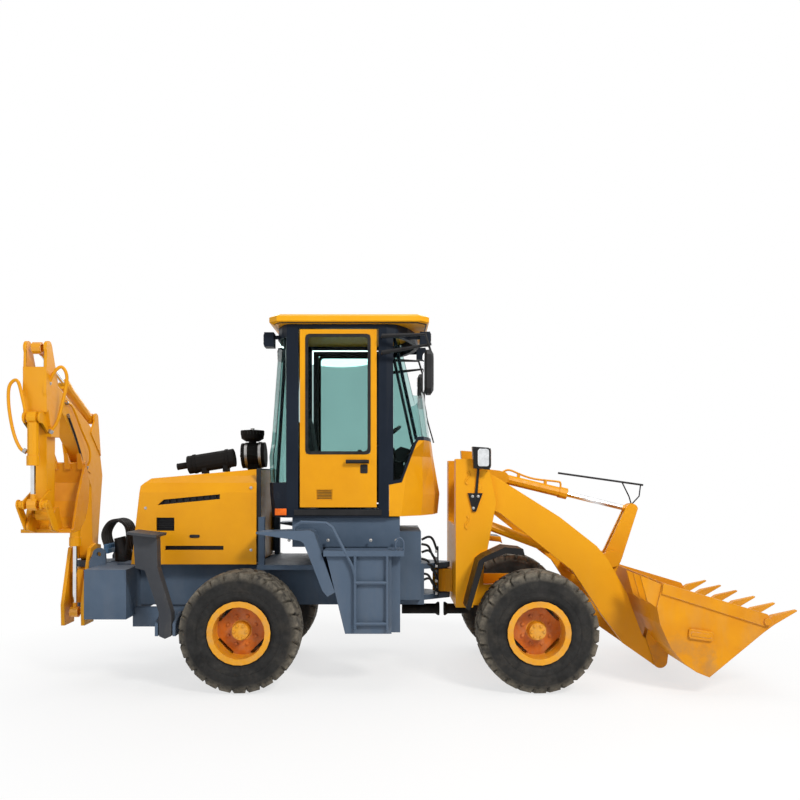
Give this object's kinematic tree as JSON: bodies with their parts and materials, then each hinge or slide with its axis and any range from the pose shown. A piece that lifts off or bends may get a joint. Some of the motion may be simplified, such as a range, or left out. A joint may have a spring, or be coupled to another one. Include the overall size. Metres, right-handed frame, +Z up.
{
  "type": "articulated backhoe loader",
  "caption": "Yellow articulated backhoe loader with a glazed cab, rear engine, front loader bucket on Z-bar linkage, folded rear backhoe and stabilizers.",
  "frame": {"origin": "on the ground at the middle of the whole machine's outline at rest, backhoe and bucket included", "axes": "+X forward towards the loader bucket, +Y to the machine's left, +Z up"},
  "size_m": [6.09, 2.108, 3.04],
  "materials": {
    "black": "matt",
    "blue_grey": "satin",
    "dark_grey": "satin, dusty",
    "glass": "clear, green tint",
    "navy": "semi-gloss",
    "orange": "satin, weathered",
    "rubber": "dusty",
    "steel": "polished",
    "yellow": "satin, weathered"
  },
  "bodies": {
    "rear_frame": {"air_cleaner": "black", "cab_frame": "navy", "cab_nose": "yellow", "cab_roof": "yellow", "dash_and_wheel": "black", "engine_block": "dark_grey", "engine_hood": "yellow", "left_mirror": "black", "left_step_box": "blue_grey", "muffler": "black", "rear_axle": "dark_grey", "rear_chassis": "blue_grey", "rear_glass": "glass", "right_mirror": "black", "right_step_box": "blue_grey", "seat": "black", "windscreen_glass": "glass"},
    "front_frame": {"front_axle": "dark_grey", "front_frame": "yellow"},
    "rear_right_wheel": {"rear_right_rim": "yellow", "rear_right_tyre": "rubber"},
    "rear_left_wheel": {"rear_left_rim": "yellow", "rear_left_tyre": "rubber"},
    "front_right_wheel": {"front_right_rim": "yellow", "front_right_tyre": "rubber"},
    "front_left_wheel": {"front_left_rim": "yellow", "front_left_tyre": "rubber"},
    "right_door": {"right_door": "yellow", "right_door_glass": "glass"},
    "right_stabilizer": {"right_stabilizer": "dark_grey"},
    "right_lift_barrel": {"right_lift_barrel": "yellow"},
    "right_lift_rod": {"right_lift_rod": "steel"},
    "left_door": {"left_door": "yellow", "left_door_glass": "glass"},
    "left_stabilizer": {"left_stabilizer": "dark_grey"},
    "left_lift_barrel": {"left_lift_barrel": "yellow"},
    "left_lift_rod": {"left_lift_rod": "steel"},
    "loader_boom": {"loader_boom": "yellow"},
    "bellcrank": {"bellcrank": "yellow"},
    "bucket_link": {"bucket_link": "yellow"},
    "loader_bucket": {"loader_bucket": "yellow"},
    "tilt_barrel": {"tilt_barrel": "yellow"},
    "tilt_rod": {"tilt_rod": "steel"},
    "swing_post": {"swing_post": "orange"},
    "hoe_boom": {"backhoe_boom": "yellow"},
    "dipper": {"backhoe_dipper": "yellow"},
    "hoe_bucket": {"backhoe_bucket": "yellow"},
    "hoe_guide": {"backhoe_guide_link": "yellow"},
    "hoe_link": {"left_bucket_link": "yellow", "right_bucket_link": "yellow"},
    "hoe_boom_ram_barrel": {"hoe_boom_ram_barrel": "yellow"},
    "hoe_boom_ram_rod": {"hoe_boom_ram_rod": "steel"},
    "dipper_ram_barrel": {"dipper_ram_barrel": "yellow"},
    "dipper_ram_rod": {"dipper_ram_rod": "steel"},
    "hoe_bucket_ram_barrel": {"hoe_bucket_ram_barrel": "yellow"},
    "hoe_bucket_ram_rod": {"hoe_bucket_ram_rod": "steel"}
  },
  "joints": [
    {"name": "steering", "type": "hinge", "parent": "rear_frame", "child": "front_frame", "pos_m": [0.325, 0.094, 0.61998], "axis": [0, 0, 1], "range_deg": [-30, 30]},
    {"name": "rear_right_wheel_spin", "type": "hinge", "parent": "rear_frame", "child": "rear_right_wheel", "pos_m": [-1.325, -0.631, 0.48248], "axis": [0, 1, 0], "continuous": true},
    {"name": "rear_left_wheel_spin", "type": "hinge", "parent": "rear_frame", "child": "rear_left_wheel", "pos_m": [-1.325, 0.819, 0.48248], "axis": [0, 1, 0], "continuous": true},
    {"name": "front_right_wheel_spin", "type": "hinge", "parent": "front_frame", "child": "front_right_wheel", "pos_m": [1.035, -0.631, 0.48248], "axis": [0, 1, 0], "continuous": true},
    {"name": "front_left_wheel_spin", "type": "hinge", "parent": "front_frame", "child": "front_left_wheel", "pos_m": [1.035, 0.819, 0.48248], "axis": [0, 1, 0], "continuous": true},
    {"name": "right_door_hinge", "type": "hinge", "parent": "rear_frame", "child": "right_door", "pos_m": [-0.876, -0.506, 1.45998], "axis": [0, 0, -1], "range_deg": [0, 90]},
    {"name": "right_stabilizer_swing", "type": "hinge", "parent": "rear_frame", "child": "right_stabilizer", "pos_m": [-1.915, -0.706, 0.49998], "axis": [1, 0, 0], "range_deg": [0, 115]},
    {"name": "left_door_hinge", "type": "hinge", "parent": "rear_frame", "child": "left_door", "pos_m": [-0.876, 0.694, 1.45998], "axis": [0, 0, 1], "range_deg": [0, 90]},
    {"name": "left_stabilizer_swing", "type": "hinge", "parent": "rear_frame", "child": "left_stabilizer", "pos_m": [-1.915, 0.894, 0.49998], "axis": [-1, 0, 0], "range_deg": [0, 115]},
    {"name": "loader_lift", "type": "hinge", "parent": "front_frame", "child": "loader_boom", "pos_m": [0.6, 0.094, 1.62498], "axis": [0, -1, 0], "range_deg": [0, 78]},
    {"name": "bucket_tilt", "type": "hinge", "parent": "loader_boom", "child": "bellcrank", "pos_m": [1.838, 0.094, 0.98398], "axis": [0, -1, 0], "range_deg": [0, 50]},
    {"name": "loader_bucket_hinge", "type": "hinge", "parent": "loader_boom", "child": "loader_bucket", "pos_m": [2.125, 0.094, 0.16998], "axis": [0, 1, 0], "range_deg": [0, 50]},
    {"name": "bucket_link_hinge", "type": "hinge", "parent": "bellcrank", "child": "bucket_link", "pos_m": [1.725, 0.094, 0.64998], "axis": [0, -1, 0], "range_deg": [-41, 0]},
    {"name": "tilt_barrel_hinge", "type": "hinge", "parent": "front_frame", "child": "tilt_barrel", "pos_m": [0.859, 0.094, 1.69898], "axis": [0, -1, 0], "range_deg": [0, 94]},
    {"name": "tilt_rod_slide", "type": "slide", "parent": "tilt_barrel", "child": "tilt_rod", "axis": [0.9718, 0, -0.2358], "range_m": [-0.32, 0]},
    {"name": "right_lift_barrel_hinge", "type": "hinge", "parent": "front_frame", "child": "right_lift_barrel", "pos_m": [0.685, -0.216, 1.29998], "axis": [0, -1, 0], "range_deg": [0, 77]},
    {"name": "right_lift_rod_slide", "type": "slide", "parent": "right_lift_barrel", "child": "right_lift_rod", "axis": [0.9363, 0, -0.3511], "range_m": [0, 0.424]},
    {"name": "left_lift_barrel_hinge", "type": "hinge", "parent": "front_frame", "child": "left_lift_barrel", "pos_m": [0.685, 0.404, 1.29998], "axis": [0, -1, 0], "range_deg": [0, 77]},
    {"name": "left_lift_rod_slide", "type": "slide", "parent": "left_lift_barrel", "child": "left_lift_rod", "axis": [0.9363, 0, -0.3511], "range_m": [0, 0.424]},
    {"name": "backhoe_swing", "type": "hinge", "parent": "rear_frame", "child": "swing_post", "pos_m": [-2.845, 0.094, 0.61998], "axis": [0, 0, -1], "range_deg": [0, 180]},
    {"name": "backhoe_lift", "type": "hinge", "parent": "swing_post", "child": "hoe_boom", "pos_m": [-2.845, 0.114, 1.01998], "axis": [1, 0, 0], "range_deg": [0, 60]},
    {"name": "backhoe_crowd", "type": "hinge", "parent": "hoe_boom", "child": "dipper", "pos_m": [-2.845, -0.826, 2.39998], "axis": [-1, 0, 0], "range_deg": [0, 100]},
    {"name": "backhoe_bucket_curl", "type": "hinge", "parent": "dipper", "child": "hoe_bucket", "pos_m": [-2.845, -0.806, 1.41998], "axis": [-1, 0, 0], "range_deg": [0, 105]},
    {"name": "backhoe_guide_hinge", "type": "hinge", "parent": "dipper", "child": "hoe_guide", "pos_m": [-2.845, -0.856, 1.56998], "axis": [-1, 0, 0], "range_deg": [0, 88]},
    {"name": "backhoe_link_hinge", "type": "hinge", "parent": "hoe_guide", "child": "hoe_link", "pos_m": [-2.845, -1.006, 1.49998], "axis": [-1, 0, 0], "range_deg": [-66, 0]},
    {"name": "hoe_boom_ram_barrel_hinge", "type": "hinge", "parent": "hoe_boom", "child": "hoe_boom_ram_barrel", "pos_m": [-2.845, -0.186, 1.77998], "axis": [-1, 0, 0], "range_deg": [0, 20]},
    {"name": "hoe_boom_ram_rod_slide", "type": "slide", "parent": "hoe_boom_ram_barrel", "child": "hoe_boom_ram_rod", "axis": [0, -0.0081, -1], "range_m": [-0.459, 0]},
    {"name": "dipper_ram_barrel_hinge", "type": "hinge", "parent": "hoe_boom", "child": "dipper_ram_barrel", "pos_m": [-2.845, 0.124, 2.22998], "axis": [-1, 0, 0], "range_deg": [-6, 0]},
    {"name": "dipper_ram_rod_slide", "type": "slide", "parent": "dipper_ram_barrel", "child": "dipper_ram_rod", "axis": [0, -0.9127, 0.4086], "range_m": [-0.479, 0]},
    {"name": "hoe_bucket_ram_barrel_hinge", "type": "hinge", "parent": "dipper", "child": "hoe_bucket_ram_barrel", "pos_m": [-2.845, -1.006, 2.15998], "axis": [-1, 0, 0], "range_deg": [-6, 0]},
    {"name": "hoe_bucket_ram_rod_slide", "type": "slide", "parent": "hoe_bucket_ram_barrel", "child": "hoe_bucket_ram_rod", "axis": [0, 0, -1], "range_m": [-0.212, 0]}
  ],
  "couplings": [
    {"joint": "loader_bucket_hinge", "follows": "bucket_tilt", "ratio": 0.98},
    {"joint": "bucket_link_hinge", "follows": "bucket_tilt", "ratio": -0.8},
    {"joint": "tilt_rod_slide", "follows": "bucket_tilt", "m_per_rad": -0.3636},
    {"joint": "tilt_barrel_hinge", "follows": "loader_lift", "ratio": 1.1925},
    {"joint": "right_lift_barrel_hinge", "follows": "loader_lift", "ratio": 0.9814},
    {"joint": "right_lift_rod_slide", "follows": "loader_lift", "m_per_rad": 0.3102},
    {"joint": "left_lift_barrel_hinge", "follows": "loader_lift", "ratio": 0.9814},
    {"joint": "left_lift_rod_slide", "follows": "loader_lift", "m_per_rad": 0.3102},
    {"joint": "backhoe_guide_hinge", "follows": "backhoe_bucket_curl", "ratio": 0.836},
    {"joint": "backhoe_link_hinge", "follows": "backhoe_bucket_curl", "ratio": -0.627},
    {"joint": "hoe_boom_ram_barrel_hinge", "follows": "backhoe_lift", "ratio": 0.3228},
    {"joint": "hoe_boom_ram_rod_slide", "follows": "backhoe_lift", "m_per_rad": -0.4371},
    {"joint": "dipper_ram_barrel_hinge", "follows": "backhoe_crowd", "ratio": -0.0536},
    {"joint": "dipper_ram_rod_slide", "follows": "backhoe_crowd", "m_per_rad": -0.2736},
    {"joint": "hoe_bucket_ram_barrel_hinge", "follows": "backhoe_bucket_curl", "ratio": -0.05},
    {"joint": "hoe_bucket_ram_rod_slide", "follows": "backhoe_bucket_curl", "m_per_rad": -0.1152}
  ]
}
